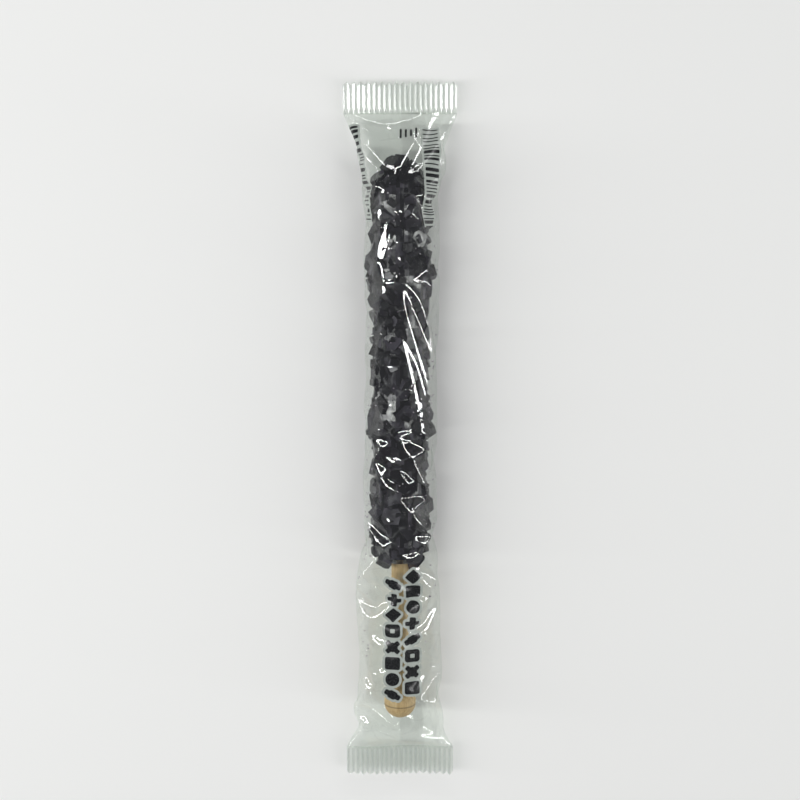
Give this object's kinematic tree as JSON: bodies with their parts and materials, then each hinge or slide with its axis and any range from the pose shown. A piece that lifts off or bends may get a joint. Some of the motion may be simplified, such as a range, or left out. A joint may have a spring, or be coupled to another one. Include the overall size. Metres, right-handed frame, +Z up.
{
  "type": "rock candy stick",
  "caption": "Rock candy grown on a ball-ended wooden stick, sealed in a clear film bag that is crimped at both ends, lying flat",
  "frame": {"origin": "middle of the bag's length and width, on the surface that it lies on", "axes": "Y along the stick, with the candy's tip towards +Y and the ball end towards -Y; Z up, away from the surface; X across the bag"},
  "size_m": [0.033, 0.214, 0.021],
  "materials": {
    "clear_film": "clear thin packing film over near-black purple sugar crystals"
  },
  "bodies": {
    "root": {"wrapped_stick": "clear_film"}
  },
  "joints": []
}
